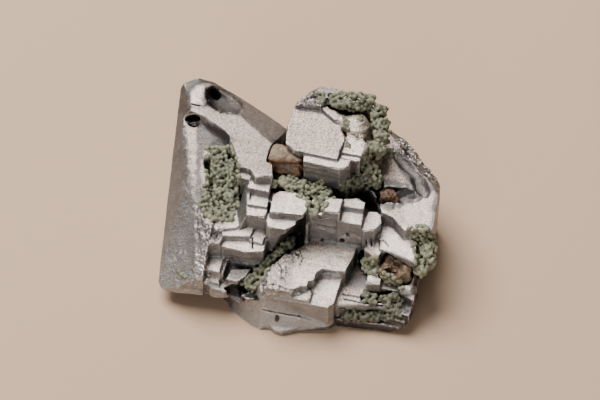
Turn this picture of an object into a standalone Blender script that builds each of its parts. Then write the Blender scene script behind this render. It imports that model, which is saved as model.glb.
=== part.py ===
"""Galena specimen: a cluster of stepped, intergrown cube crystals with green pyromorphite
crusts and three brown siderite crystals.

The file works in metres with +Z up. The origin is under the middle of the cluster, on the
surface that it rests on, and -Y is the side that shows the steps. Sizes below are written in
millimetres and turned into metres as each mesh is made.

Every crystal of the cluster has its own twist about the vertical. Its steps are drawn in its
own frame: u runs along its front walls to the right, v runs away from the front.
"""

import itertools
import math

import bmesh
import bpy
from mathutils import Matrix, Vector

MM = 0.001

# Driving sizes of the cluster, mm.
CLEARANCE = 0.3        # gap between one mineral and the next
BURIED = -1.0          # steps are drawn down to about here, and the base is cut flat at zero
BURIED_SPREAD = 0.013  # each step starts a little deeper than the last, so no two bottoms touch
FOUNDATION_TOP = 5.0   # the mass that all the crystals grow from
WELD_DISTANCE = 1e-6   # points of a cut closer than this are one, in metres
REACH = 60.0           # length of a cutting slab, well past the cluster

# Twist of each crystal about the vertical, degrees.
LEFT_TWIST = 14.7
FRONT_TWIST = 11.4
RIGHT_TWIST = 11.0
TABLET_TWIST = 7.0
TOP_TWIST = 18.0
UNTWISTED = 0.0

# Levels of the main steps, mm above the base.
KNOB_LEVEL = 19.5
BAND_LEVEL = 19.0
TABLET_LEVEL = 15.9
RIDGE = [(9.0, 17.4), (8.0, 17.2), (-1.4, 15.1), (-9.4, 11.9)]   # (v, level) down the left edge
RIDGE_SIDES = (-25.3, -11.2)                                     # u of its two sides
FRONT_LEVEL = 8.5
APRON_LEVEL = 6.5
CREST_LEVEL = 16.6
TOP_LEVEL = 21.5
SUMMIT_LEVEL = 23.5
RIGHT_LEVEL = 14.5

# Colours (linear RGB), roughness and metallic value of each mineral.
GALENA_FINISH = ((0.42, 0.39, 0.38), 0.42, 0.9)
PYROMORPHITE_FINISH = ((0.16, 0.20, 0.12), 0.75, 0.0)
SIDERITE_FINISH = ((0.19, 0.11, 0.055), 0.6, 0.0)


# ---------------------------------------------------------------- scene and mesh helpers


def clear_scene():
    for obj in list(bpy.data.objects):
        bpy.data.objects.remove(obj)


def finish(name, colour, roughness, metallic):
    """A Principled material with one colour."""
    material = bpy.data.materials.new(name)
    material.use_nodes = True
    shader = material.node_tree.nodes["Principled BSDF"]
    shader.inputs["Base Color"].default_value = (*colour, 1.0)
    shader.inputs["Roughness"].default_value = roughness
    shader.inputs["Metallic"].default_value = metallic
    return material


def frame_of(twist):
    """The matrix from a crystal's own (u, v, z) to world axes."""
    return Matrix.Rotation(-math.radians(twist), 4, "Z")


def add_object(name, bm):
    """An object from a bmesh drawn in millimetres."""
    bmesh.ops.scale(bm, vec=(MM, MM, MM), verts=bm.verts)
    bmesh.ops.recalc_face_normals(bm, faces=bm.faces)
    mesh = bpy.data.meshes.new(name)
    bm.to_mesh(mesh)
    bm.free()
    obj = bpy.data.objects.new(name, mesh)
    bpy.context.scene.collection.objects.link(obj)
    return obj


bottoms = (BURIED - BURIED_SPREAD * index for index in itertools.count())


def rectangle(u_low, u_high, v_low, v_high):
    return [(u_low, v_low), (u_high, v_low), (u_high, v_high), (u_low, v_high)]


def step(twist, level, outline):
    """A straight-sided step: the outline, drawn in the crystal's frame, up to its level."""
    bottom = next(bottoms)
    bm = bmesh.new()
    rim = [bm.verts.new((u, v, bottom)) for u, v in outline]
    face = bm.faces.new(rim)
    grown = bmesh.ops.extrude_face_region(bm, geom=[face])
    top = [item for item in grown["geom"] if isinstance(item, bmesh.types.BMVert)]
    bmesh.ops.translate(bm, vec=(0, 0, level - bottom), verts=top)
    bmesh.ops.transform(bm, matrix=frame_of(twist), verts=bm.verts)
    return add_object("step", bm)


def hull(twist, points):
    """The convex solid around some points of a crystal's frame."""
    bm = bmesh.new()
    for point in points:
        bm.verts.new(point)
    result = bmesh.ops.convex_hull(bm, input=bm.verts)
    loose = [item for item in result["geom_interior"] if isinstance(item, bmesh.types.BMVert)]
    bmesh.ops.delete(bm, geom=loose, context="VERTS")
    bmesh.ops.transform(bm, matrix=frame_of(twist), verts=bm.verts)
    return add_object("hull", bm)


def outside_of(twist, points, outward):
    """A cutting slab that fills the side of a plane, through three points, that outward points to."""
    first, second, third = [frame_of(twist) @ Vector(point) for point in points]
    normal = (second - first).cross(third - first).normalized()
    if normal.dot(Vector(outward)) < 0:
        normal = -normal
    bm = bmesh.new()
    bmesh.ops.create_cube(bm, size=2 * REACH)
    bmesh.ops.translate(bm, vec=(0, 0, REACH), verts=bm.verts)
    turn = normal.to_track_quat("Z", "Y").to_matrix().to_4x4()
    bmesh.ops.transform(bm, matrix=Matrix.Translation(first) @ turn, verts=bm.verts)
    return add_object("slab", bm)


def ellipsoid(centre, radii, turn=0.0, tilt=0.0, detail=2):
    """A faceted ellipsoid in world axes, turned about the vertical and then tilted, degrees."""
    bm = bmesh.new()
    bmesh.ops.create_icosphere(bm, subdivisions=detail, radius=1.0)
    bmesh.ops.scale(bm, vec=radii, verts=bm.verts)
    rotation = Matrix.Rotation(math.radians(turn), 4, "Z") @ Matrix.Rotation(math.radians(tilt), 4, "Y")
    bmesh.ops.transform(bm, matrix=Matrix.Translation(centre) @ rotation, verts=bm.verts)
    return add_object("ellipsoid", bm)


def weld(mesh):
    """Join the points that a Boolean leaves on top of each other."""
    bm = bmesh.new()
    bm.from_mesh(mesh)
    bmesh.ops.remove_doubles(bm, verts=bm.verts, dist=WELD_DISTANCE)
    bmesh.ops.dissolve_degenerate(bm, edges=bm.edges, dist=WELD_DISTANCE)
    bm.to_mesh(mesh)
    bm.free()


def combine(target, others, operation):
    """Apply one Boolean between the target and a group of solids, and remove the group."""
    group = bpy.data.collections.new("operands")
    bpy.context.scene.collection.children.link(group)
    for obj in others:
        group.objects.link(obj)
        bpy.context.scene.collection.objects.unlink(obj)
    modifier = target.modifiers.new("combine", "BOOLEAN")
    modifier.operation = operation
    modifier.solver = "EXACT"
    modifier.operand_type = "COLLECTION"
    modifier.collection = group
    evaluated = target.evaluated_get(bpy.context.evaluated_depsgraph_get())
    mesh = bpy.data.meshes.new_from_object(evaluated)
    target.modifiers.clear()
    target.data = mesh
    weld(mesh)
    for obj in others:
        bpy.data.objects.remove(obj)
    bpy.data.collections.remove(group)
    return target


def unite(solids):
    return combine(solids[0], solids[1:], "UNION")


def cut(target, cutters):
    """Take the cutters away one after another."""
    for cutter in cutters:
        combine(target, [cutter], "DIFFERENCE")
    return target


def islands_of(bm):
    """The groups of faces that hang together."""
    left = set(bm.faces)
    islands = []
    while left:
        stack = [left.pop()]
        island = []
        while stack:
            face = stack.pop()
            island.append(face)
            for edge in face.edges:
                for neighbour in edge.link_faces:
                    if neighbour in left:
                        left.remove(neighbour)
                        stack.append(neighbour)
        islands.append(island)
    return islands


def tidy_solid(obj, flat_angle=1.0):
    """Merge faces that lie in one plane, and drop the crumbs that a cut has parted off."""
    bm = bmesh.new()
    bm.from_mesh(obj.data)
    islands = sorted(islands_of(bm), key=len)
    crumbs = [face for island in islands[:-1] for face in island]
    bmesh.ops.delete(bm, geom=crumbs, context="FACES")
    bmesh.ops.dissolve_limit(
        bm, angle_limit=math.radians(flat_angle), verts=bm.verts, edges=bm.edges)
    bmesh.ops.triangulate(bm, faces=bm.faces)
    bm.to_mesh(obj.data)
    bm.free()
    return obj


# ---------------------------------------------------------------- galena


def sloping_ridge():
    """The ridge that runs down the left edge, gently and then more steeply."""
    left, right = RIDGE_SIDES
    bottom = next(bottoms)
    profile = [(RIDGE[0][0], bottom)] + RIDGE + [(RIDGE[-1][0], bottom)]
    bm = bmesh.new()
    face = bm.faces.new([bm.verts.new((left, v, z)) for v, z in profile])
    grown = bmesh.ops.extrude_face_region(bm, geom=[face])
    far_side = [item for item in grown["geom"] if isinstance(item, bmesh.types.BMVert)]
    bmesh.ops.translate(bm, vec=(right - left, 0, 0), verts=far_side)
    bmesh.ops.transform(bm, matrix=frame_of(LEFT_TWIST), verts=bm.verts)
    return add_object("ridge", bm)


def left_crystal():
    """The tall left crystal: a flat band on top, and a ragged stair down to the front."""
    twist = LEFT_TWIST
    band = [(-25, 7.6), (-20.6, 8.0), (-18.6, 7.6), (-16.5, 6.3), (-14.1, 5.4), (-12.6, 3.0),
            (-11.1, 1.3), (-9.8, -1.2), (-7.8, -1.2), (-6.6, -2.6), (-3.9, -1.8), (-5.0, 1.4),
            (-5.8, 4.4), (-4.7, 10.4), (-10.9, 13.5), (-15.0, 14.9), (-16.9, 15.3), (-18.6, 16.0),
            (-20.8, 15.2), (-22.6, 13.9), (-25, 11.5)]
    ledges = [
        (11.7, [(-25, -12), (-14.0, -10.9), (-12.4, -12.0), (-10.1, -11.5), (-9.9, -9.9), (-9.9, -4.6),
                (-25, -4.6)]),
        (17.6, rectangle(-10.0, -7.6, -2.3, 0.0)),
        (17.2, rectangle(-7.7, -4.1, -3.6, -1.0)),
        (12.6, [(-13.7, -10.0), (-10.8, -9.5), (-8.1, -8.4), (-7.9, -4.7), (-14.2, -4.7)]),
        (12.1, [(-10.2, -10.2), (-5.7, -9.1), (-5.6, -6.0), (-10.4, -6.0)]),
        (11.5, rectangle(-5.9, -3.6, -9.6, -5.7)),
        (10.9, [(-10.4, -11.3), (-6.0, -11.4), (-3.2, -10.6), (-3.2, -5.3), (-10.4, -5.3)]),
        (13.0, [(-25.8, -5.2), (-25.8, -13), (-19.5, -15.2), (-18.6, -16.2), (-16.0, -16.5), (-11.8, -15.9),
                (-11.8, -5.2)]),
        (8.1, rectangle(-12.1, -9.4, -14.3, -9.0)),
        (7.5, rectangle(-9.6, -8.9, -14.1, -8.7)),
        (5.6, rectangle(-9.2, -5.0, -13.0, -8.3)),
        (7.0, [(-8.3, -14.6), (-8.0, -12.6), (-5.0, -11.6), (-5.5, -13.3), (-6.5, -14.6)]),
        (6.4, rectangle(-12.4, -9.3, -15.3, -12.8)),
        (5.4, [(-10.8, -15.9), (-10.8, -12.3), (-6.6, -12.3), (-7.2, -15.0), (-8.4, -15.9)]),
    ]
    body = unite([step(twist, BAND_LEVEL, band), sloping_ridge()]
                 + [step(twist, level, outline) for level, outline in ledges])
    side_wall = outside_of(UNTWISTED, [(-19.5, 18.2, 0), (-22.8, -10.0, 0), (-22.8, -10.0, 10)],
                           (-1, 0, 0))
    upper_facet = outside_of(UNTWISTED, [(-19.5, 18.7, 18.0), (-22.8, -9.9, 3.0), (-17.9, 3.2, 15.1)],
                             (-1, 0, 1))
    lower_facet = outside_of(UNTWISTED, [(-17.9, 3.2, 15.1), (-22.8, -9.9, 3.0), (-15.9, -5.8, 11.7)],
                             (-1, -1, 1))
    back_bevel = outside_of(twist, [(-13.0, 9.3, 19.0), (-6.0, 4.6, 19.0), (-8.0, 12.2, 16.2)],
                            (0, 1, 1))
    cut(body, [side_wall, upper_facet, lower_facet, back_bevel])
    knob_top = [(-21.5, 12.1), (-20.9, 13.2), (-19.9, 13.8), (-18.6, 13.9), (-17.9, 13.2),
                (-18.3, 9.2), (-20.6, 8.8)]
    knob_foot = [(-23.2, 11.6), (-22.4, 13.6), (-20.7, 14.9), (-18.6, 15.5), (-16.9, 14.9),
                 (-17.8, 9.2), (-21.5, 8.5)]
    knob = hull(twist, [(u, v, KNOB_LEVEL) for u, v in knob_top]
                + [(u, v, 17.6) for u, v in knob_foot] + [(u, v, 12.0) for u, v in knob_foot])
    unite([body, knob])
    underside = [
        outside_of(UNTWISTED, [(-21.1, -11.6, 3.0), (-13.7, -12.4, 3.0), (-16.0, -7.6, 0.0)], (0, -1, -1)),
        outside_of(UNTWISTED, [(-22.0, 0.0, 3.0), (-22.8, -10.0, 3.0), (-18.2, 2.0, 0.0)], (-1, 0, -1)),
    ]
    return cut(body, underside)


def left_hollows():
    """What is etched out of the left crystal, in world axes."""
    return [
        ellipsoid((-12.2, 15.1, 19.2), (3.6, 2.4, 2.2), turn=-36),
        ellipsoid((-13.8, 17.3, 17.8), (1.2, 0.8, 2.2), turn=-30, detail=1),
        ellipsoid((-17.3, 12.0, 17.0), (1.3, 0.8, 2.0), turn=-20, detail=1),
        ellipsoid((-13.4, 6.9, 17.9), (2.3, 2.5, 2.3)),
        ellipsoid((-14.4, 4.4, 14.4), (1.0, 1.9, 3.0), turn=20, detail=1),
        ellipsoid((-12.0, 1.8, 14.8), (2.8, 5.6, 4.4), turn=-6),
    ]


def tablet():
    """The rounded tablet that juts out over the crack, with the two ledges beside it."""
    outline = [(-4.1, -6.0), (1.1, -5.9), (1.8, -4.8), (2.0, -3.4), (1.1, -2.1), (-0.6, -1.2),
               (-3.0, -1.6), (-4.1, -2.3)]
    return [
        step(TABLET_TWIST, TABLET_LEVEL, outline),
        step(TABLET_TWIST, 14.4, [(-4.5, -7.5), (-3.9, -7.9), (-1.4, -7.9), (0.6, -6.4), (0.6, -5.0),
                                  (-4.5, -5.0)]),
        step(RIGHT_TWIST, 15.7, rectangle(-7.5, -4.3, -5.2, -1.5)),
        step(RIGHT_TWIST, 15.2, rectangle(-7.3, -4.2, -6.9, -4.0)),
        hull(RIGHT_TWIST, [(-7.4, -6.8, 14.8), (-7.4, -1.5, 17.2), (-8.4, -1.5, 16.6), (-8.4, -8.1, 12.0),
                           (-9.2, -4.8, 12.9), (-8.6, -8.2, 4.0), (-9.4, -4.8, 4.0), (-9.4, -1.5, 4.0),
                           (-7.2, -8.2, 4.0), (-7.2, -1.5, 4.0)]),
    ]


def front_crystal():
    """The low front crystal: a broad floor, a notch, an apron step and a tall front wall."""
    twist = FRONT_TWIST
    floor = [(-2.4, -15.6), (1.6, -15.6), (2.2, -14.9), (3.0, -14.2), (3.9, -14.0), (4.0, -13.0),
             (4.8, -12.6), (4.9, -11.0), (5.6, -10.2), (9.3, -10.0), (10.1, -6.7), (10.2, -4.0),
             (2.9, -4.0), (0.0, -6.8), (-1.0, -9.1), (-2.6, -12.0)]
    apron = [(-2.4, -15.9), (7.6, -16.0), (8.5, -15.0), (8.6, -12.4), (9.0, -9.4), (4.4, -9.4),
             (3.0, -13.5), (-2.4, -13.5)]
    plinth = [(-3.0, -16.6, 4.0), (3.0, -16.5, 3.2), (7.6, -16.3, 1.6), (8.6, -15.4, 1.8),
              (8.6, -9.8, 3.5), (-3.0, -9.8, 4.0),
              (-3.4, -17.4, 0), (0.3, -17.8, 0), (3.0, -16.8, 0), (7.8, -15.6, 0), (8.6, -9.8, 0),
              (-3.4, -9.8, 0)]
    flank = [(-2.4, -15.4, 7.6), (-2.6, -11.6, 8.3), (-0.9, -9.2, 8.3), (3.0, -10.0, 8.3),
             (3.0, -15.0, 7.4), (-4.6, -15.9, 3.4), (-8.9, -14.4, 0), (-6.8, -16.0, 0), (-4.8, -17.2, 0),
             (-3.0, -17.9, 0), (2.0, -16.8, 0), (4.0, -10.0, 0), (-8.0, -11.0, 0)]
    return [
        step(twist, FRONT_LEVEL, floor),
        step(twist, APRON_LEVEL, apron),
        step(twist, 7.2, rectangle(-2.2, 4.7, -15.75, -13.6)),
        hull(twist, plinth),
        step(twist, 1.2, [(-1.6, -17.4), (-0.6, -18.1), (0.6, -18.3), (2.0, -17.7), (3.6, -16.8),
                          (3.6, -12.0), (-1.6, -12.0)]),
        hull(twist, flank),
    ]


def crest():
    """The row of small blocks at the head of the tall wall behind the front floor."""
    twist = FRONT_TWIST
    leaning_block = [(11.1, -5.4), (13.0, -4.6), (13.8, -3.1), (13.5, -2.1), (12.7, -0.9),
                     (11.4, -1.2), (11.0, -3.0)]
    return [
        step(twist, CREST_LEVEL, rectangle(4.6, 7.35, -4.9, -1.9)),
        step(twist, 15.9, [(7.3, -2.75), (10.8, -2.75), (10.8, -1.4), (9.4, -0.6), (7.3, -1.4)]),
        step(twist, 14.7, rectangle(7.2, 10.9, -5.05, -2.6)),
        step(twist, 13.5, leaning_block),
        step(twist, 15.3, rectangle(2.4, 4.7, -4.9, -1.5)),
        step(twist, 13.0, rectangle(0.2, 2.5, -5.6, -1.2)),
        step(twist, 9.5, rectangle(0.5, 12.0, -2.8, 3.0)),
        step(twist, 12.6, rectangle(1.0, 4.8, -2.0, 0.4)),
    ]


def top_crystal():
    """The highest crystal: a square bright top, a thin ledge in front and a worn rim behind."""
    twist = TOP_TWIST
    main = [(-3.4, 3.2), (-1.7, 2.1), (5.4, 2.5), (5.3, 4.8), (5.2, 7.2), (4.1, 9.0), (4.1, 13.0),
            (-2.2, 14.2), (-4.4, 11.6), (-4.4, 6.7)]
    side = [(4.4, 2.9), (7.2, 2.9), (9.0, 4.6), (10.4, 6.5), (10.8, 8.5), (10.2, 11.6), (8.2, 14.2),
            (4.4, 14.4)]
    rear = [(-4.2, 11.8), (0.0, 12.2), (1.6, 13.0), (8.0, 13.8), (7.4, 14.8), (0.2, 14.8), (-2.6, 14.2)]
    body = unite([
        step(twist, TOP_LEVEL, main),
        step(twist, 20.9, [(-0.2, 2.6), (0.2, 0.9), (6.2, 1.1), (7.3, 1.8), (7.4, 3.6)]),
        step(twist, 20.5, [(5.0, 2.0), (7.6, 2.0), (7.6, 3.7), (8.6, 4.1), (8.5, 6.0), (5.0, 6.0)]),
        step(twist, 21.0, [(5.2, 4.4), (8.7, 4.7), (9.1, 7.0), (7.9, 8.5), (5.2, 8.5)]),
        step(twist, 23.0, [(-4.2, 10.2), (-0.1, 10.9), (0.4, 13.0), (-2.6, 13.9), (-4.2, 11.9)]),
        step(twist, SUMMIT_LEVEL, rear),
        step(twist, 22.3, [(-0.2, 11.2), (2.6, 9.4), (4.3, 9.3), (4.5, 10.2), (1.4, 12.4)]),
        step(twist, 19.6, [(4.7, 3.5), (7.7, 3.8), (9.1, 5.5), (9.7, 7.0), (9.7, 11.0), (8.0, 13.4),
                           (4.7, 13.4)]),
        step(twist, 17.0, side),
    ])
    left_bevel = outside_of(twist, [(-4.4, 12.5, 21.2), (-2.2, 14.6, 22.4), (-3.0, 10.0, 23.4)],
                            (-1, 1, 1))
    cut(body, [left_bevel])
    worn_mound = ellipsoid((9.1, 8.0, 20.6), (2.2, 2.8, 1.7))
    return unite([body, worn_mound])


def right_crystal():
    """The right crystal: a broad face with a curved groove, and lower shelves in front of it."""
    twist = RIGHT_TWIST
    face = [(10.0, 14.0), (12.4, 15.6), (14.2, 14.9), (16.5, 13.0), (19.1, 10.3), (20.8, 8.6),
            (21.7, 6.3), (22.0, -3.6), (17.6, -4.7), (15.5, -2.5), (13.5, -1.8), (12.4, 1.0),
            (10.0, 3.0)]
    shelf = [(13.2, -2.0, 11.3), (18.8, -2.0, 13.0), (19.9, -6.6, 12.0), (20.4, -8.6, 11.5),
             (17.2, -7.4, 11.1), (14.1, -6.4, 10.9)]
    body = unite([
        step(twist, RIGHT_LEVEL, face),
        hull(twist, shelf + [(u, v, 3.5) for u, v, z in shelf]),
        step(twist, 10.4, [(11.6, -6.6), (14.0, -8.0), (14.4, -6.0), (14.4, -4.0), (11.6, -4.0)]),
        step(twist, 8.2, [(13.6, -9.2), (20.2, -9.4), (20.0, -5.0), (13.6, -5.0)]),
        step(twist, 7.6, rectangle(12.7, 15.0, -10.9, -8.2)),
        step(twist, 6.4, [(14.6, -10.6), (17.4, -10.7), (20.6, -12.0), (20.7, -7.6), (14.6, -7.6)]),
        step(twist, 4.2, [(9.0, -12.4), (13.2, -12.6), (20.2, -13.6), (20.9, -8.0), (9.0, -7.0)]),
        step(twist, 3.2, [(8.8, -13.2), (13.6, -13.4), (19.6, -14.2), (20.0, -8.8), (8.8, -8.8)]),
        step(twist, 2.0, [(8.0, -14.9), (13.4, -14.6), (19.0, -14.4), (19.8, -9.3), (8.0, -9.3)]),
    ])
    back_bevel = outside_of(twist, [(12.6, 13.6, 14.5), (19.8, 5.8, 14.5), (17.8, 12.2, 12.2)], (1, 1, 1))
    cut(body, [back_bevel])
    worn_lobe = ellipsoid((17.0, -13.6, 6.2), (1.6, 1.3, 1.2))
    return unite([body, worn_lobe])


def right_hollows():
    """The curved groove across the right crystal's face, and the etched corner below it."""
    return [
        ellipsoid((17.0, 5.4, 15.0), (1.2, 3.6, 1.7), turn=36),
        ellipsoid((19.2, 1.4, 14.6), (1.3, 3.2, 1.6), turn=18),
        ellipsoid((15.6, -0.9, 14.9), (4.2, 1.8, 2.2), turn=-6),
        ellipsoid((11.6, -7.4, 6.2), (2.4, 2.4, 3.4)),
    ]


def foundation():
    """The mass under the crystals, with stepped sides at the back, and the saddle between the tops."""
    footprint = [(-19.2, 15.0), (-18.4, 0.0), (-17.0, -7.4), (-12.8, -10.4), (-11.0, -12.4), (-8.5, -14.4),
                 (6.0, -15.6), (16.0, -15.4), (19.0, -11.0), (20.6, -2.0), (20.4, 3.0), (15.0, 12.6),
                 (8.0, 15.0), (-4.0, 14.0), (-10.0, 15.5)]
    return [
        step(UNTWISTED, FOUNDATION_TOP, footprint),
        step(UNTWISTED, 15.2, [(-5.6, -3.0), (1.0, -3.0), (2.4, 3.0), (1.0, 9.0), (-6.0, 8.0)]),
        step(LEFT_TWIST, 12.0, rectangle(-19.5, -10.4, 8.0, 15.7)),
        step(LEFT_TWIST, 8.0, rectangle(-18.0, -6.0, 8.4, 13.4)),
        step(TOP_TWIST, 13.0, rectangle(-1.6, 8.0, 8.0, 16.0)),
        step(TOP_TWIST, 7.0, rectangle(-3.6, 5.0, 8.5, 16.8)),
        step(RIGHT_TWIST, 9.0, rectangle(9.0, 16.0, 6.0, 14.6)),
        step(RIGHT_TWIST, 6.0, rectangle(14.0, 21.4, -4.0, 8.0)),
    ]


def crack_cutters():
    """The crack along the broken edge of the left crystal. Its upper wall overhangs."""
    edge = [(1.2, -4.4, 15.2), (-3.0, -7.5, 12.8), (-5.7, -9.9, 9.2), (-8.4, -11.2, 7.0),
            (-12.2, -12.8, 5.4)]
    floor = [7.6, 6.4, 5.0, 3.8, 2.6]
    back = Vector((-0.53, 0.85, 0))
    far_bank = [(0.6, -6.4), (-2.4, -8.3), (-4.6, -10.2), (-6.4, -12.0), (-9.4, -13.6)]
    cutters = []
    for start in range(len(edge) - 1):
        corners = []
        for index in (start, start + 1):
            x, y, z = edge[index]
            foot = Vector((x, y, 0)) + 1.8 * back
            far_x, far_y = far_bank[index]
            corners.append((x, y, z))
            corners.append((foot.x, foot.y, floor[index]))
            corners.append((far_x, far_y, floor[index]))
            corners.append((far_x, far_y, z))
        cutters.append(hull(UNTWISTED, corners))
    return cutters


def underside_cutters():
    """The flat base, and the slanting break that lifts the right foot."""
    return [
        outside_of(UNTWISTED, [(0, 0, 0), (1, 0, 0), (0, 1, 0)], (0, 0, -1)),
        outside_of(UNTWISTED, [(19.0, -12.0, 2.4), (21.0, -2.0, 2.4), (17.4, -2.0, 0.0)], (1, 0, -1)),
    ]


def galena(sockets):
    """All the galena as one solid, with the sockets that the other minerals sit in."""
    solids = [left_crystal(), top_crystal(), right_crystal()]
    solids += tablet() + front_crystal() + crest() + foundation()
    body = unite(solids)
    body.name = "galena"
    cut(body, left_hollows() + right_hollows() + crack_cutters() + underside_cutters() + sockets)
    return tidy_solid(body)


# ---------------------------------------------------------------- crusts and brown crystals

# Each pyromorphite crust is a few runs of lumps. A run is a lump radius and the points, in mm,
# that the run passes through.
CRUSTS = {
    "pyromorphite_left": [
        (1.6, [(-13.0, 5.6, 14.6), (-12.6, 3.2, 13.2), (-13.2, 1.2, 12.2), (-13.9, -0.6, 11.6),
               (-12.2, -2.2, 11.2)]),
        (1.4, [(-10.9, 4.4, 14.6), (-10.9, 2.0, 13.2), (-10.8, -1.2, 11.8)]),
    ],
    "pyromorphite_center": [
        (1.3, [(1.0, -0.6, 15.2), (3.2, -0.8, 15.2), (4.2, -2.0, 15.2), (3.0, -3.8, 14.8)]),
        (1.2, [(1.0, -0.6, 15.2), (-0.6, -0.1, 15.9), (-2.4, 0.1, 16.0), (-4.0, 0.0, 16.0)]),
    ],
    "pyromorphite_crack": [
        (1.5, [(-1.8, -5.6, 8.0), (-4.2, -7.7, 6.8), (-6.2, -9.6, 5.9), (-8.2, -11.2, 4.9)]),
    ],
    "pyromorphite_top": [
        (1.3, [(4.9, 12.2, 22.2), (6.6, 11.0, 22.3), (8.8, 11.0, 22.3), (10.8, 11.9, 21.9)]),
        (1.6, [(10.8, 11.9, 21.9), (12.4, 10.4, 21.2), (13.0, 8.6, 20.4), (12.9, 6.8, 19.4), (12.2, 5.2, 18.8)]),
    ],
    "pyromorphite_flank": [
        (1.4, [(11.0, 2.6, 16.6), (9.4, 1.6, 15.4), (7.4, 1.2, 14.2), (5.2, 1.2, 13.4)]),
        (1.4, [(11.0, 2.6, 16.6), (12.2, 1.0, 14.8)]),
    ],
    "pyromorphite_right": [
        (1.5, [(19.4, -7.0, 11.8), (20.2, -8.6, 11.0), (20.0, -10.4, 10.2), (19.2, -12.2, 9.4)]),
        (1.2, [(20.2, -8.6, 9.6), (20.4, -10.6, 8.6)]),
    ],
    "pyromorphite_ledge": [
        (1.3, [(10.5, -8.2, 6.6), (11.6, -9.5, 6.4)]),
    ],
    "pyromorphite_corner": [
        (1.0, [(10.6, -14.2, 4.6), (13.0, -14.3, 4.8), (15.3, -14.1, 5.1)]),
    ],
    "pyromorphite_foot": [
        (1.0, [(7.5, -15.5, 2.3), (10.1, -15.7, 2.2), (13.2, -15.7, 2.4)]),
    ],
}
LUMP_SPACING = 1.45   # distance between the middles of two lumps, in lump radii


def lumps_along(radius, points, swell):
    """Overlapping lumps at even spacing along a path, a little larger and smaller by turns."""
    lumps = []
    for start, end in zip(points, points[1:]):
        start, end = Vector(start), Vector(end)
        count = math.ceil((end - start).length / (LUMP_SPACING * radius))
        for index in range(count):
            lumps.append(start.lerp(end, index / count))
    lumps.append(Vector(points[-1]))
    solids = []
    for index, centre in enumerate(lumps):
        size = radius * (1.0 + 0.08 * math.sin(2.4 * index)) + swell
        solids.append(ellipsoid(centre, (size, size, size), turn=47.0 * index, tilt=31.0 * index, detail=1))
    return solids


def crust(name, runs, swell=0.0):
    """All the lumps of one crust as one solid, each grown by swell."""
    body = unite([lump for radius, points in runs for lump in lumps_along(radius, points, swell)])
    body.name = name
    return body


# Brown crystals: middle, half sizes, turn about the vertical and tilt, mm and degrees.
SIDERITES = {
    "siderite_center": ((-2.2, 3.2, 18.0), (2.7, 1.5, 1.9), -14.0, 4.0),
    "siderite_right": ((15.4, -11.0, 8.2), (2.4, 1.6, 1.7), -14.0, 8.0),
    "siderite_small": ((14.0, -1.0, 13.8), (1.5, 1.1, 1.2), 12.0, 0.0),
}


def siderite(name, centre, half_sizes, turn, tilt, swell=0.0):
    """A blunt six-sided brown crystal with worn edges."""
    bm = bmesh.new()
    bmesh.ops.create_cube(bm, size=2.0)
    sizes = [half + swell for half in half_sizes]
    bmesh.ops.scale(bm, vec=sizes, verts=bm.verts)
    bmesh.ops.bevel(bm, geom=bm.edges[:], offset=0.45 * min(half_sizes), segments=2, affect="EDGES",
                    profile=0.6)
    rotation = Matrix.Rotation(math.radians(turn), 4, "Z") @ Matrix.Rotation(math.radians(tilt), 4, "Y")
    bmesh.ops.transform(bm, matrix=Matrix.Translation(centre) @ rotation, verts=bm.verts)
    obj = add_object(name, bm)
    return obj


def centre_over_origin(objects):
    """Move the cluster so that the middle of its footprint is at the origin."""
    places = [vert.co for obj in objects for vert in obj.data.vertices]
    middle_x = (min(co.x for co in places) + max(co.x for co in places)) / 2
    middle_y = (min(co.y for co in places) + max(co.y for co in places)) / 2
    for obj in objects:
        obj.data.transform(Matrix.Translation((-middle_x, -middle_y, 0)))


def main():
    clear_scene()
    lead = finish("galena", *GALENA_FINISH)
    green = finish("pyromorphite", *PYROMORPHITE_FINISH)
    brown = finish("siderite", *SIDERITE_FINISH)
    sockets = [crust("socket", runs, CLEARANCE) for runs in CRUSTS.values()]
    sockets += [siderite("socket", *sizes, CLEARANCE) for sizes in SIDERITES.values()]
    galena(sockets).data.materials.append(lead)
    for name, runs in CRUSTS.items():
        tidy_solid(crust(name, runs)).data.materials.append(green)
    for name, sizes in SIDERITES.items():
        siderite(name, *sizes).data.materials.append(brown)
    centre_over_origin(list(bpy.data.objects))


main()
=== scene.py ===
"""Galena specimen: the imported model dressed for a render.

The galena is worked into a fine mesh with growth steps, striated walls, worn edges, pits and
cracks. The green crusts become masses of rounded grains, and the brown crystals get their
layers and cracks. Lengths here are in millimetres unless a name says otherwise.
"""

import math

import bmesh
import bpy
import numpy as np
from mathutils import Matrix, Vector
from mathutils.bvhtree import BVHTree


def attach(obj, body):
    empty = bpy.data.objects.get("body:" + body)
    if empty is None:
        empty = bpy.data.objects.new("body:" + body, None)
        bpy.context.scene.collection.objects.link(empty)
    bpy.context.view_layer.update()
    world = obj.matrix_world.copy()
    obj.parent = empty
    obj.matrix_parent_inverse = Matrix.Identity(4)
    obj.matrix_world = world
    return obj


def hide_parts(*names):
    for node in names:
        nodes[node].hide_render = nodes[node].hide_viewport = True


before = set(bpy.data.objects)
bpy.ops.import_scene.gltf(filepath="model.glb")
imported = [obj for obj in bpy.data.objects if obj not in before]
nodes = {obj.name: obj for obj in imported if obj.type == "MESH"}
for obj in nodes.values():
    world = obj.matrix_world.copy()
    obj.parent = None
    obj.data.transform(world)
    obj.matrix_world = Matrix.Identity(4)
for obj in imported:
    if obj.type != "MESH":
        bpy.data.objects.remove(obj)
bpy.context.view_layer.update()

MM = 0.001

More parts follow.
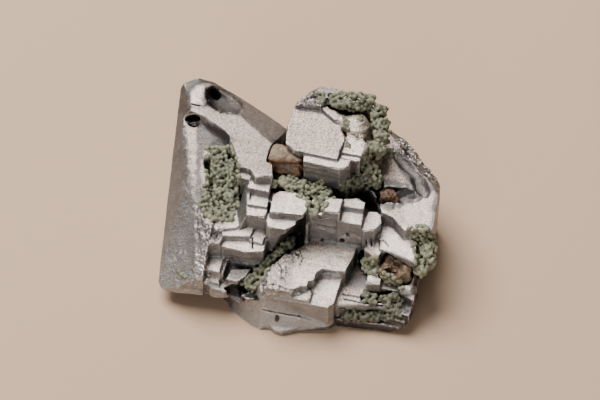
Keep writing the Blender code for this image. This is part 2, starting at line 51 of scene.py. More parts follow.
# The camera stands where the photograph was taken from.
IMAGE_SIZE = (600, 400)
FOCAL_PX = 2450.0
CAMERA_ELEVATION = math.radians(52.0)
CAMERA_DISTANCE = 392.0
CAMERA_TARGET = Vector((0.117, -1.069, 12.0))
SENSOR_WIDTH = 36.0
VIEW_FORWARD = (0, math.cos(CAMERA_ELEVATION), -math.sin(CAMERA_ELEVATION))
VIEW_UP = (0, math.sin(CAMERA_ELEVATION), math.cos(CAMERA_ELEVATION))
CAMERA_PLACE = CAMERA_TARGET - Vector(VIEW_FORWARD) * CAMERA_DISTANCE

# Fineness of the meshes: voxels and spacings in mm.
GALENA_VOXEL = 0.17
GALENA_TRIANGLES = 185000
CRUST_VOXEL = 0.12
GRAIN_SPACING = 0.44
KNOB_SPACING = 1.9
SIDERITE_VOXEL = 0.09

# Twist of the crystals about the vertical, in degrees, and the angle that makes an edge sharp.
CRYSTAL_TWIST = 14.0
SHARP_ANGLE = math.radians(38)


# ------ mesh helpers


def read_rows(elements, key, width, kind):
    """One property of all vertices, edges or triangles, as rows of numbers."""
    values = np.empty(len(elements) * width, kind)
    elements.foreach_get(key, values)
    return values.reshape(-1, width)


def points_of(obj):
    """The vertices of an object's mesh, in mm."""
    return read_rows(obj.data.vertices, "co", 3, np.float32).astype(np.float64) / MM


def put_points(obj, points):
    """Move the vertices, none of them below the table."""
    points[:, 2] = np.maximum(points[:, 2], 0.0)
    obj.data.vertices.foreach_set("co", (points * MM).astype(np.float32).ravel())
    obj.data.update()


def normals_of(obj):
    return read_rows(obj.data.vertices, "normal", 3, np.float32).astype(np.float64)


def edges_of(obj):
    return read_rows(obj.data.edges, "vertices", 2, np.int32)


def triangles_of(obj):
    obj.data.calc_loop_triangles()
    return read_rows(obj.data.loop_triangles, "vertices", 3, np.int32)


def neighbour_mean(values, edges, count):
    """The mean of each vertex's neighbours."""
    total = np.zeros_like(values)
    np.add.at(total, edges[:, 0], values[edges[:, 1]])
    np.add.at(total, edges[:, 1], values[edges[:, 0]])
    return total / np.maximum(count, 1)[:, None]


def smoothed(points, edges, passes):
    """Each vertex moved halfway to its neighbours' mean, some times over."""
    count = np.bincount(edges.ravel(), minlength=len(points)).astype(float)
    result = points.copy()
    for _ in range(passes):
        result = 0.5 * result + 0.5 * neighbour_mean(result, edges, count)
    return result


def apply_modifiers(obj):
    """Give an object the mesh that its modifiers make."""
    evaluated = obj.evaluated_get(bpy.context.evaluated_depsgraph_get())
    mesh = bpy.data.meshes.new_from_object(evaluated)
    obj.modifiers.clear()
    obj.data = mesh
    mesh.name = obj.name


def remesh(obj, voxel):
    """Replace a mesh by an even one of small faces."""
    modifier = obj.modifiers.new("remesh", "REMESH")
    modifier.mode = "VOXEL"
    modifier.voxel_size = voxel * MM
    modifier.adaptivity = 0.0
    apply_modifiers(obj)


def thin_out(obj, triangles):
    """Merge triangles where the surface is flat."""
    now = sum(len(polygon.vertices) - 2 for polygon in obj.data.polygons)
    if now <= triangles:
        return
    modifier = obj.modifiers.new("thin", "DECIMATE")
    modifier.ratio = triangles / now
    apply_modifiers(obj)


def store(obj, name, values):
    """Keep one number for each vertex, for the material to read."""
    attribute = obj.data.attributes.new(name, "FLOAT", "POINT")
    attribute.data.foreach_set("value", values.astype(np.float32))


def new_object(name, mesh):
    obj = bpy.data.objects.new(name, mesh)
    bpy.context.scene.collection.objects.link(obj)
    return obj


def smoothstep(low, high, x):
    """0 at low, 1 at high and smooth between them. Low may be the larger."""
    t = np.clip((x - low) / (high - low), 0.0, 1.0)
    return t * t * (3.0 - 2.0 * t)


# ------ noise


# Random values repeat after this many cells. The shift keeps the cells' numbers positive.
NOISE_CELLS = 32
NOISE_SHIFT = 1000.0


def value_noise(points, wavelength, seed):
    """Smooth noise from 0 to 1 at the given wavelength."""
    size = NOISE_CELLS
    grid = np.random.default_rng(seed).random((size, size, size))
    q = points / wavelength + NOISE_SHIFT
    base = np.floor(q).astype(int)
    t = q - base
    t = t * t * (3.0 - 2.0 * t)
    total = np.zeros(len(points))
    for dx in (0, 1):
        for dy in (0, 1):
            for dz in (0, 1):
                weight = (np.where(dx, t[:, 0], 1 - t[:, 0])
                          * np.where(dy, t[:, 1], 1 - t[:, 1])
                          * np.where(dz, t[:, 2], 1 - t[:, 2]))
                total += weight * grid[(base[:, 0] + dx) % size, (base[:, 1] + dy) % size,
                                       (base[:, 2] + dz) % size]
    return total


def fractal_noise(points, wavelength, seed, octaves=3):
    """Noise from 0 to 1 with finer and fainter noise on it."""
    total = np.zeros(len(points))
    norm = 0.0
    for octave in range(octaves):
        gain = 0.5 ** octave
        total += gain * value_noise(points, wavelength * gain, seed + octave)
        norm += gain
    return total / norm


def seeded_noise(points, seed, noise):
    """Noise of a (wavelength, seed, octaves), with a piece's own seed added to its seed."""
    wavelength, own_seed, octaves = noise
    return fractal_noise(points, wavelength, seed + own_seed, octaves)


def noise_columns(points, wavelength, seeds):
    """Noise from -0.5 to 0.5, with one column for each seed."""
    return np.stack([fractal_noise(points, wavelength, seed) for seed in seeds], axis=1) - 0.5


def stepped_layers(axes, heights, stretch, thickness, seed, steps):
    """Noise from 0 to 1 in level layers, rounded to a few steps."""
    places = np.stack([axes[:, 0] * stretch, axes[:, 1] * stretch, heights], axis=1)
    return np.round(value_noise(places, thickness, seed) * steps) / steps


# ------ the photograph's view


# How far behind the nearest surface a mark still reaches, in mm.
SHAPE_SLACK = 0.9
FINISH_SLACK = 1.2


def pixels_of(points):
    """Where points are in the photograph's frame, and their distance along the view."""
    offset = points - np.array(CAMERA_PLACE)
    depth = offset @ np.array(VIEW_FORWARD)
    x = IMAGE_SIZE[0] / 2 + FOCAL_PX * offset[:, 0] / depth
    y = IMAGE_SIZE[1] / 2 - FOCAL_PX * (offset @ np.array(VIEW_UP)) / depth
    return np.stack([x, y], axis=1), depth


def seen_by_camera(pixels, depth, slack=SHAPE_SLACK):
    """Which points lie on the side that the photograph shows."""
    cells = np.clip(pixels.astype(int), 0, [IMAGE_SIZE[0] - 1, IMAGE_SIZE[1] - 1])
    nearest = np.full(IMAGE_SIZE, np.inf)
    np.minimum.at(nearest, (cells[:, 0], cells[:, 1]), depth)
    return depth < nearest[cells[:, 0], cells[:, 1]] + slack


def distance_to_path(pixels, path):
    """Distance in pixels from each point to an open line."""
    best = np.full(len(pixels), np.inf)
    for start, end in zip(path, path[1:]):
        start, end = np.array(start, float), np.array(end, float)
        along = end - start
        t = np.clip((pixels - start) @ along / (along @ along), 0, 1)
        best = np.minimum(best, np.linalg.norm(pixels - start - t[:, None] * along, axis=1))
    return best


def inside_outline(pixels, outline):
    """Which points are inside a closed outline."""
    x, y = pixels[:, 0], pixels[:, 1]
    inside = np.zeros(len(pixels), bool)
    for (x0, y0), (x1, y1) in zip(outline, outline[1:] + outline[:1]):
        if y0 == y1:
            continue
        crosses = (y0 > y) != (y1 > y)
        inside ^= crosses & (x < (x1 - x0) * (y - y0) / (y1 - y0) + x0)
    return inside


def region(pixels, outline, feather):
    """1 inside an outline, falling to 0 over a feather of some pixels around it."""
    inside = inside_outline(pixels, outline)
    distance = distance_to_path(pixels, outline + outline[:1])
    return np.where(inside, 1.0, smoothstep(feather, 0.0, distance))


def strongest(pixels, marks, feather):
    """The largest of several (amount, outline) marks at each point."""
    best = np.zeros(len(pixels))
    for amount, outline in marks:
        best = np.maximum(best, amount * region(pixels, outline, feather))
    return best


# ------ galena


# Outlines of places on the surface, in pixels of the photograph's frame.
WRINKLED_RIDGE = [(184, 128), (200, 127), (201, 150), (199, 175), (201, 200), (198, 214), (186, 208),
                  (184, 160)]
MOUND = [(340, 104), (372, 104), (384, 118), (382, 138), (366, 146), (348, 140), (338, 122)]
# Where forms have lost their corners.
ROUNDED = [
    [(186, 118), (205, 118), (228, 136), (234, 158), (236, 200), (228, 222), (204, 222), (200, 200),
     (186, 180)],
    [(190, 84), (216, 82), (262, 112), (250, 118), (205, 108), (190, 106)],
    MOUND,
    [(400, 145), (430, 160), (437, 190), (420, 192), (400, 170)],
]
# Where small blocks stand out and sink in, and where the rock has broken.
BLOCKY = [
    [(397, 140), (408, 141), (420, 151), (434, 171), (434, 180), (424, 174), (410, 158), (398, 150)],
    [(294, 96), (322, 92), (322, 104), (296, 106)],
]
BROKEN = [
    [(197, 208), (222, 224), (222, 240), (204, 246), (196, 236)],
    [(262, 262), (278, 246), (300, 250), (296, 262), (284, 278), (276, 294), (262, 296), (258, 280)],
    [(196, 250), (207, 250), (208, 286), (192, 284)],
]
# The front of the foot is smooth, and the hollow in the right crystal is etched.
SMOOTH_FOOT = [(222, 284), (262, 290), (300, 300), (331, 307), (336, 330), (282, 338), (222, 316)]
ETCHED_HOLLOW = [(366, 184), (392, 180), (422, 186), (418, 200), (392, 210), (366, 200)]
# How dull the metal is in places, and where shade is painted: 1 is grey, and from 1.35 to 1.6 it is
# painted black as shadow.
DULL_AND_SHADE = [
    (1.0, [(176, 84), (190, 78), (214, 77), (226, 88), (212, 90), (204, 84), (194, 85), (190, 92),
           (190, 110), (180, 114)]),
    (0.65, [(203, 96), (212, 90), (224, 88), (286, 126), (286, 146), (274, 150), (262, 126),
            (232, 112), (206, 106)]),
    (1.0, [(198, 124), (214, 124), (232, 138), (236, 160), (222, 150), (204, 150), (198, 170),
           (204, 200), (196, 200)]),
    (1.3, [(366, 182), (392, 180), (412, 186), (420, 182), (424, 192), (408, 203), (390, 209),
           (366, 202)]),
    (1.6, [(236, 286), (256, 286), (258, 300), (240, 300)]),
    (1.5, [(206, 88), (226, 90), (244, 104), (238, 114), (222, 112), (206, 104)]),
    (1.15, [(398, 150), (406, 150), (432, 184), (424, 194), (412, 184), (402, 172)]),
    (1.0, [(400, 128), (436, 164), (442, 190), (438, 234), (432, 234), (436, 186), (426, 166),
           (396, 134)]),
    (1.0, [(397, 152), (404, 150), (434, 188), (424, 192), (410, 182), (400, 170)]),
    (0.8, [(344, 276), (366, 276), (368, 288), (344, 286)]),
    (0.4, [(224, 284), (262, 288), (300, 300), (331, 307), (334, 326), (282, 336), (224, 312)]),
    (0.9, [(226, 272), (252, 268), (240, 281), (228, 280)]),
    (1.0, [(384, 282), (398, 284), (396, 296), (366, 294), (366, 284)]),
    (1.52, [(336, 318), (404, 314), (418, 300), (432, 278), (434, 300), (412, 336), (332, 336)]),
    (1.45, [(384, 284), (400, 286), (412, 300), (404, 314), (392, 306), (384, 296)]),
    (1.5, [(414, 278), (424, 276), (424, 296), (414, 299)]),
    (0.42, [(190, 104), (222, 110), (258, 125), (272, 145), (272, 177), (236, 166), (234, 152),
            (222, 130)]),
    (0.25, [(183, 118), (202, 118), (202, 214), (184, 208)]),
    (0.2, [(290, 111), (330, 120), (346, 138), (340, 160), (290, 152)]),
    (0.4, [(258, 262), (280, 246), (300, 250), (290, 268), (292, 284), (270, 298), (258, 298)]),
    (0.15, [(388, 128), (404, 138), (396, 152), (402, 176), (386, 176), (382, 150)]),
    (0.5, [(198, 208), (222, 222), (222, 242), (198, 244)]),
    (0.1, [(344, 104), (376, 104), (380, 136), (360, 142), (344, 134)]),
    (0.7, [(294, 84), (368, 84), (368, 98), (330, 96), (296, 104)]),
    (0.35, [(160, 84), (182, 84), (196, 200), (196, 290), (158, 290)]),
]
# How much brighter the painted highlight is on some faces, from 0 to 1.
HIGHLIGHT_BOOSTS = [
    (0.8, [(240, 186), (310, 186), (312, 214), (300, 230), (240, 230)]),
    (0.7, [(318, 194), (382, 196), (384, 234), (340, 224), (318, 216)]),
    (1.0, [(377, 228), (414, 228), (420, 266), (377, 262)]),
    (0.7, [(296, 250), (350, 244), (334, 306), (290, 306)]),
    (1.0, [(366, 272), (384, 272), (384, 284), (366, 284)]),
    (1.0, [(204, 254), (224, 254), (222, 274), (204, 274)]),
    (0.6, [(222, 226), (264, 226), (264, 252), (222, 250)]),
    (0.6, [(298, 154), (352, 156), (352, 170), (298, 166)]),
    (0.7, [(340, 138), (370, 138), (366, 158), (340, 158)]),
    (0.5, [(404, 206), (432, 196), (434, 226), (404, 232)]),
    (0.6, [(192, 82), (214, 82), (206, 96), (192, 104)]),
]
# Where frosted slopes get the painted highlight of the level faces, from 0 to 1.
SLOPE_HIGHLIGHTS = [
    (0.9, MOUND),
    (0.3, [(226, 92), (286, 126), (286, 146), (262, 126), (232, 106)]),
    (0.2, [(397, 140), (408, 141), (420, 151), (434, 171), (434, 186), (410, 176), (398, 152)]),
    (0.3, [(366, 283), (392, 284), (392, 294), (366, 294)]),
]
# Where broken facets get painted glints, from 0 to 1.
GLINT_MARKS = [
    (1.0, BLOCKY[0]), (0.5, BLOCKY[1]), (0.4, BROKEN[0]), (0.4, BROKEN[1]), (0.5, BROKEN[2]),
    (0.35, [(166, 244), (178, 240), (187, 250), (184, 266), (172, 264)]),
]
# Dull metal, painted shade, painted highlights and painted glints, by the names the material reads.
FINISH_AND_LIGHT_MARKS = {"dull_and_shade": DULL_AND_SHADE, "highlight_boost": HIGHLIGHT_BOOSTS, "slope_highlight": SLOPE_HIGHLIGHTS, "glint_share": GLINT_MARKS}
# Cracks: the half width in pixels, the depth in mm and the line in pixels.
CRACKS = [
    (1.2, 0.35, [(191, 104), (195, 105), (200, 106)]),
    (0.7, 0.25, [(379, 241), (383, 240), (388, 246)]),
    (0.9, 0.3, [(314, 217), (320, 219), (329, 217)]),
    (0.9, 0.25, [(340, 236), (346, 234), (350, 237)]),
    (0.9, 0.3, [(252, 235), (253, 242), (252, 249)]),
    (0.9, 0.3, [(366, 240), (367, 248)]),
    (0.9, 0.3, [(371, 238), (372, 246)]),
    (0.9, 0.22, [(262, 286), (274, 284), (286, 289), (296, 290)]),
    (0.8, 0.20, [(278, 262), (282, 268), (281, 276), (286, 281)]),
    (0.8, 0.18, [(300, 250), (303, 258), (300, 266)]),
    (1.1, 0.3, [(262, 310), (276, 313), (300, 316)]),
    (1.0, 0.4, [(344, 299), (364, 303), (382, 306)]),
    (1.0, 0.35, [(343, 294), (360, 297), (366, 299)]),
]
# Pits: how wide the edge is in pixels, the depth in mm, the middle and the half sizes in pixels.
PITS = [
    (0.6, 0.9, (342.0, 241.0), (2.4, 1.6)),
    (0.5, 0.5, (347.0, 235.5), (1.2, 0.9)),
    (0.5, 0.35, (297.5, 255.5), (1.6, 1.2)),
    (0.5, 0.3, (222.0, 112.0), (1.5, 1.0)),
    (0.5, 0.35, (322.0, 240.0), (1.0, 0.8)),
    (1.3, 1.4, (192.5, 119.0), (6.5, 3.2)),
    (0.8, 0.35, (277.0, 319.0), (1.2, 2.8)),
]
# The worn mound on the top crystal has rings round its top. They are this many pixels apart, by
# this factor closer up and down the picture, and this high in mm.
MOUND_TOP = (357.0, 119.0)
RING_SPACING = 6.5
RING_SQUASH = 1.15
RING_HEIGHT = 0.06

# Passes of smoothing: for rounded forms, for the ridge after those, and for finding edges.
ROUNDING_PASSES = 30
RIDGE_PASSES = 70
EDGE_PASSES = 6
# How far, in pixels, marks fade out past their outlines, and how far the outlines wander.
WIDE_FEATHER = 5.0
FEATHER = 4.0
NARROW_FEATHER = 3.0
SHAPE_WANDER = 5.0
FINISH_WANDER = 6.0
# Noises: the wavelength in mm, the seed or seeds, and the octaves where they aren't three.
WANDER_NOISE = (1.4, (11, 21))
FINISH_NOISE = (1.0, (15,))
WARP_NOISE = (1.1, (41, 44, 47))
WEAR_NOISE = (1.8, 31)
CHIP_NOISE = (1.0, 101)
CURL_NOISE = (1.0, 61)
SWIRL_NOISE = (3.2, 71, 2)
GRAIN_NOISE = (0.5, 81, 2)
SWELL_NOISE = (3.5, 91, 2)
# Every point moves to the mean around it by the first share. Worn edges move by more, as the
# noise and the sharpness of the edge, in mm, go through these ranges.
WEAR_EVERYWHERE = 0.12
WEAR_MORE = 2.2
WEAR_RANGE = (0.42, 0.75)
SHARP_RANGE = (0.02, 0.08)
# Shares of a face's normal: along a crystal axis, from where the face starts to count as flat to
# where it does in full, and upwards, the most for a wall and the least for a top.
FLAT_RANGE = (0.93, 0.985)
WALL_TILT = 0.3
TOP_TILT = 0.9
# How much less growth the foot shows, and how far the growth's edges wander, in mm.
FOOT_SMOOTHNESS = 0.85
WARP = 0.35
# Box-shaped patches of growth: how many, the least and the most half sizes, the steps that they
# sink by, all in mm, and the seed. They only start where growth has at least this weight, and
# their sums stay between these multiples of the least and the largest step.
WALL_PATCHES = (220, (0.5, 0.4, 0.3), (3.2, 2.0, 1.4), (0.05, 0.08, 0.12, -0.05), 5)
TOP_PATCHES = (160, (0.4, 0.3, 0.3), (2.2, 1.6, 1.0), (0.03, 0.05, -0.03), 8)
BLOCK_PATCHES = (130, (0.4, 0.35, 0.35), (1.5, 1.1, 1.0), (0.14, -0.14, 0.07), 6)
PATCH_WEIGHT = 0.3
SUM_LIMITS = (1.5, 2.5)
# Striations on the walls: their depth, then the stretch, thickness, seed and steps of the layers.
STRIATION_DEPTH = 0.07
STRIATIONS = (0.04, 0.55, 51, 4)
# Heights in mm of the chips, wrinkles, etched swirls, grain and swell. Chips stand out where their
# noise is below the level, the wrinkles' noise is stretched, and the swirls turn this often.
CHIP_HEIGHT = 0.7
CHIP_LEVEL = 0.2
WRINKLE_HEIGHT = 0.24
WRINKLE_STRETCH = (0.45, 1.5, 1.0)
SWIRL_HEIGHT = 0.16
SWIRL_TURNS = 5.0
GRAIN_HEIGHT = 0.08
SWELL_HEIGHT = 0.12
# How much of the outlines' wander the edges of the pits have.
PIT_WANDER = 0.6

# Directions in which a point looks for the sky, how far it looks and how far above the surface it
# starts, in mm, and the passes that smooth what it finds.
SKY_RAYS = [(0, -0.6, 0.8), (0.55, -0.3, 0.8), (-0.55, -0.3, 0.8), (0, 0.4, 0.9), (0, -0.95, 0.3),
            (0, 0, 1), (0.7, 0.2, 0.7), (-0.7, 0.2, 0.7)]
SKY_REACH = 9.0
SKY_START = 0.35
SKY_PASSES = 6
# The stored reliefs, and the passes of smoothing that each is measured from.
RELIEFS = (("relief_fine", 4), ("relief_broad", 40))


def crystal_axes(points):
    """Each point along its crystal's own axes: across the front walls, away from them, and up."""
    turn = math.radians(CRYSTAL_TWIST)
    x, y = points[:, 0], points[:, 1]
    return np.stack([x * math.cos(turn) - y * math.sin(turn),
                     x * math.sin(turn) + y * math.cos(turn), points[:, 2]], axis=1)


def growth_patches(axes, weight, count, least, most, amounts, seed):
    """Box-shaped patches of growth: how far each point sinks, in mm."""
    rng = np.random.default_rng(seed)
    sink = np.zeros(len(axes))
    chosen = np.flatnonzero(weight > PATCH_WEIGHT)
    places = axes[chosen]
    total = np.zeros(len(chosen))
    for middle in places[rng.integers(len(chosen), size=count)]:
        half = rng.uniform(least, most)
        near = np.all(np.abs(places - middle) < half, axis=1)
        total[near] += rng.choice(amounts)
    sink[chosen] = np.clip(total, SUM_LIMITS[0] * min(amounts), SUM_LIMITS[1] * max(amounts))
    return sink * weight


def worn_galena():
    """The galena node as a fine mesh with the marks of growth, etching and handling."""
    piece = new_object("galena_surface", nodes["galena"].data.copy())
    remesh(piece, GALENA_VOXEL)
    edges = edges_of(piece)
    points = points_of(piece)
    pixels, depth = pixels_of(points)
    seen = seen_by_camera(pixels, depth)
    ragged = pixels + SHAPE_WANDER * noise_columns(points, *WANDER_NOISE)

    def shown(outlines, feather):
        return strongest(ragged, [(1.0, outline) for outline in outlines], feather) * seen

    # Rounded forms lose their corners, the rest keeps them but for worn spots.
    soft = smoothed(points, edges, ROUNDING_PASSES)
    softer = smoothed(soft, edges, RIDGE_PASSES)
    points += (soft - points) * shown(ROUNDED, WIDE_FEATHER)[:, None]
    points += (softer - points) * shown([WRINKLED_RIDGE], WIDE_FEATHER)[:, None]
    put_points(piece, points)
    normals = normals_of(piece)
    inward = smoothed(points, edges, EDGE_PASSES) - points
    convex = np.maximum(-np.sum(inward * normals, axis=1), 0.0)
    wear = smoothstep(*WEAR_RANGE, fractal_noise(points, *WEAR_NOISE))
    wear = wear * smoothstep(*SHARP_RANGE, convex)
    points += inward * (WEAR_EVERYWHERE + WEAR_MORE * wear)[:, None]

    # Growth sheets and striations on the flat faces.
    axes = crystal_axes(points)
    crystal_normals = crystal_axes(normals)
    flat = smoothstep(*FLAT_RANGE, np.max(np.abs(crystal_normals), axis=1))
    flat = flat * (1 - FOOT_SMOOTHNESS * shown([SMOOTH_FOOT], NARROW_FEATHER))
    warped = axes + WARP * noise_columns(points, *WARP_NOISE)
    wall = flat * (np.abs(crystal_normals[:, 2]) < WALL_TILT)
    top = flat * (crystal_normals[:, 2] > TOP_TILT)
    sink = growth_patches(warped, wall, *WALL_PATCHES)
    sink += growth_patches(warped, top, *TOP_PATCHES)
    sink += wall * STRIATION_DEPTH * stepped_layers(axes, warped[:, 2], *STRIATIONS)
    points -= normals * sink[:, None]

    # Blocky growth, and chips where the rock has broken.
    blocks = growth_patches(warped, shown(BLOCKY, NARROW_FEATHER), *BLOCK_PATCHES)
    points -= normals * blocks[:, None]
    broken = shown(BROKEN, FEATHER)
    chips = np.abs(fractal_noise(points, *CHIP_NOISE) - 0.5) * 2
    points += normals * (CHIP_HEIGHT * broken * (CHIP_LEVEL - chips))[:, None]

    # Wrinkles across the bright ridge, rings on the mound, and swirls in the etched hollow.
    ridge = shown([WRINKLED_RIDGE], NARROW_FEATHER)
    curl = fractal_noise(warped * WRINKLE_STRETCH, *CURL_NOISE) - 0.5
    points += normals * (WRINKLE_HEIGHT * ridge * curl)[:, None]
    mound = shown([MOUND], FEATHER)
    from_top = ragged - MOUND_TOP
    rings = np.hypot(from_top[:, 0], RING_SQUASH * from_top[:, 1]) / RING_SPACING
    points += normals * (mound * RING_HEIGHT * np.sin(2 * math.pi * rings))[:, None]
    etched = shown([ETCHED_HOLLOW], FEATHER)
    swirl = np.abs(np.sin(math.pi * (fractal_noise(points, *SWIRL_NOISE) * SWIRL_TURNS)))
    points += normals * (etched * (SWIRL_HEIGHT * swirl - SWIRL_HEIGHT / 2))[:, None]

    for width, drop, path in CRACKS:
        groove = smoothstep(width, 0.0, distance_to_path(pixels, path)) * seen
        points -= normals * (drop * groove)[:, None]
    worn = (1 - PIT_WANDER) * pixels + PIT_WANDER * ragged
    for edge, drop, middle, (half_x, half_y) in PITS:
        reach = np.hypot((worn[:, 0] - middle[0]) / half_x, (worn[:, 1] - middle[1]) / half_y)
        hollow = smoothstep(1.0 + edge / half_x, 1.0, reach) * seen
        points -= normals * (drop * hollow)[:, None]

    grain = fractal_noise(points, *GRAIN_NOISE) - 0.5
    swell = fractal_noise(points, *SWELL_NOISE) - 0.5
    grain_height = GRAIN_HEIGHT + GRAIN_HEIGHT * ridge
    points += normals * (grain_height * grain + SWELL_HEIGHT * swell * (1 - 0.5 * flat))[:, None]
    put_points(piece, points)
    thin_out(piece, GALENA_TRIANGLES)
    mark_surface(piece)
    mark_finish_and_light(piece)
    mark_openness(piece, surface_tree(nodes.values()))
    return piece


def mark_finish_and_light(piece):
    """Store where the metal is dull, and where shade, highlights and glints are painted."""
    points = points_of(piece)
    pixels, depth = pixels_of(points)
    ragged = pixels + FINISH_WANDER * noise_columns(points, *FINISH_NOISE)
    seen = seen_by_camera(pixels, depth, FINISH_SLACK)
    for name, marks in FINISH_AND_LIGHT_MARKS.items():
        store(piece, name, strongest(ragged, marks, NARROW_FEATHER) * seen)


def mark_openness(piece, tree):
    """Store how much of the sky in front of and above each point is free of other rock."""
    points = points_of(piece)
    normals = normals_of(piece)
    starts = (points + SKY_START * normals).tolist()
    rays = [Vector(ray).normalized() for ray in SKY_RAYS]
    blocked = np.zeros(len(points))
    for index, start in enumerate(starts):
        origin = Vector(start)
        blocked[index] = sum(tree.ray_cast(origin, ray, SKY_REACH)[0] is not None for ray in rays)
    edges = edges_of(piece)
    open_share = smoothed((1 - blocked / len(rays))[:, None], edges, SKY_PASSES)[:, 0]
    store(piece, "openness", open_share)


def mark_surface(piece, reliefs=RELIEFS):
    """Store how far each point stands out of, or sinks into, what is around it."""
    points = points_of(piece)
    normals = normals_of(piece)
    edges = edges_of(piece)
    for name, passes in reliefs:
        offset = points - smoothed(points, edges, passes)
        store(piece, name, np.sum(offset * normals, axis=1))


# ------ crusts


# For each crust, how dark it is painted, from 0 to 1, partly as shade and partly as its own darker
# tone, and where the photograph shows grains of it beyond its main mass, in its pixels.
CRUSTS = {
    "pyromorphite_left": (0.12, [
        [(206, 148), (232, 146), (240, 168), (240, 200), (232, 220), (214, 222), (198, 206),
         (206, 180)],
    ]),
    "pyromorphite_center": (0.0, [
        [(274, 174), (300, 176), (310, 184), (322, 180), (331, 190), (326, 208), (312, 218),
         (304, 200), (284, 188)],
    ]),
    "pyromorphite_crack": (0.2, [
        [(286, 240), (292, 246), (276, 258), (262, 282), (252, 292), (240, 286), (258, 266)],
        [(177, 271), (182, 272), (187, 276), (187, 280), (181, 277)],
    ]),
    "pyromorphite_top": (0.3, [
        [(314, 92), (326, 94), (326, 106), (318, 104)],
        [(328, 94), (366, 92), (392, 112), (390, 134), (378, 150), (372, 120), (352, 106), (332, 106)],
        [(356, 114), (363, 116), (361, 122), (355, 120)],
        [(345, 120), (349, 122), (350, 131), (346, 128)],
        [(351, 133), (360, 135), (356, 139)],
        [(344, 142), (351, 143), (350, 148), (345, 147)],
    ]),
    "pyromorphite_flank": (0.25, [
        [(366, 142), (386, 144), (382, 180), (366, 190), (344, 196), (340, 184), (360, 172)],
        [(382, 148), (393, 149), (393, 158), (382, 158)],
    ]),
    "pyromorphite_right": (0.0, [
        [(408, 228), (424, 224), (437, 240), (436, 262), (424, 274), (414, 262), (412, 244)],
    ]),
    "pyromorphite_ledge": (0.0, [
        [(364, 258), (378, 256), (382, 272), (370, 274), (363, 268)],
        [(376, 270), (400, 278), (404, 290), (388, 284)],
    ]),
    "pyromorphite_corner": (0.45, [
        [(363, 290), (375, 292), (377, 302), (364, 302)],
        [(380, 297), (398, 293), (402, 300), (396, 306), (382, 305)],
    ]),
    "pyromorphite_foot": (0.6, [
        [(340, 308), (370, 312), (404, 304), (400, 318), (372, 322), (342, 320)],
    ]),
}
CRUST_SEED = 100

# Places tried for grains: on a solid for each square mm, and in a patch their spacing in pixels.
GRAIN_DENSITY = 9
PATCH_SPACING = 1.2
# Depths of the grains in mm: the most between the knobs, a random part, and those in a patch.
KNOB_HEIGHT = 1.0
GRAIN_DEPTH = 0.12
PATCH_DEPTH = (-0.25, 0.2)
# The least and most height of a knob, as a share, and its reach, as a share of the spacing.
KNOB_TOPS = (0.35, 1.0)
KNOB_REACH = 0.72
# The least share of the grains' spacing, what a noise adds to it, and the radii as shares of it.
SPACING_LEAST = 0.65
SPACING_MORE = 0.8
GRAIN_RADII = (0.68, 1.0)
# The depth of the core under the grains, and the height of the lumps on them, in mm.
CORE_DEPTH = 0.9
LUMP_HEIGHT = 0.16
# Noises: the wavelength in mm, what is added to the crust's seed, and the octaves.
SPACING_NOISE = (1.2, 51, 2)
LUMP_NOISE = (0.5, 7, 2)
BALL_DETAIL = 2
CRUST_RELIEFS = RELIEFS + (("relief_knob", 150),)


def ball_template():
    """The points and faces of a small round ball of radius one."""
    bm = bmesh.new()
    bmesh.ops.create_icosphere(bm, subdivisions=BALL_DETAIL, radius=1.0)
    points = np.array([vert.co for vert in bm.verts])
    faces = np.array([[vert.index for vert in face.verts] for face in bm.faces])
    bm.free()
    return points, faces


def triangle_samples(points, triangles, density, rng):
    """Random places spread evenly over some triangles, and the triangles' normals there."""
    a, b, c = (points[triangles[:, index]] for index in range(3))
    cross = np.cross(b - a, c - a)
    area = np.linalg.norm(cross, axis=1)
    count = int(0.5 * area.sum() * density)
    chosen = rng.choice(len(triangles), size=count, p=area / area.sum())
    s, t = rng.random(count), rng.random(count)
    flip = s + t > 1
    s[flip], t[flip] = 1 - s[flip], 1 - t[flip]
    places = a[chosen] + s[:, None] * (b - a)[chosen] + t[:, None] * (c - a)[chosen]
    return places, cross[chosen] / area[chosen][:, None]


def surface_tree(objects):
    """A tree for finding where a line of sight meets any of some objects, in mm."""
    points, triangles = [], []
    start = 0
    for obj in objects:
        points.append(points_of(obj))
        triangles.append(triangles_of(obj) + start)
        start += len(points[-1])
    return BVHTree.FromPolygons(np.concatenate(points).tolist(), np.concatenate(triangles).tolist())


def sight_line(x, y):
    """The direction from the camera through a pixel."""
    across = (x - IMAGE_SIZE[0] / 2) / FOCAL_PX
    down = (y - IMAGE_SIZE[1] / 2) / FOCAL_PX
    return (Vector(VIEW_FORWARD) + across * Vector((1, 0, 0)) - down * Vector(VIEW_UP)).normalized()


def places_in_outline(outline, spacing, tree, rng):
    """Points on the surface that a pixel outline covers, about one for each spacing squared."""
    xs = [x for x, y in outline]
    ys = [y for x, y in outline]
    count = int((max(xs) - min(xs)) * (max(ys) - min(ys)) / spacing ** 2)
    tries = rng.uniform((min(xs), min(ys)), (max(xs), max(ys)), (count, 2))
    found = []
    for x, y in tries[inside_outline(tries, outline)].tolist():
        place, normal = tree.ray_cast(CAMERA_PLACE, sight_line(x, y))[:2]
        if place is not None:
            found.append(np.array(place + rng.uniform(*PATCH_DEPTH) * normal))
    return found


def spread_out(places, spacing):
    """The indices of places that are no closer to another than the spacing of each."""
    kept = np.empty_like(places)
    chosen = []
    for index, place in enumerate(places):
        count = len(chosen)
        if count == 0 or np.min(np.sum((kept[:count] - place) ** 2, axis=1)) > spacing[index] ** 2:
            kept[count] = place
            chosen.append(index)
    return np.array(chosen)


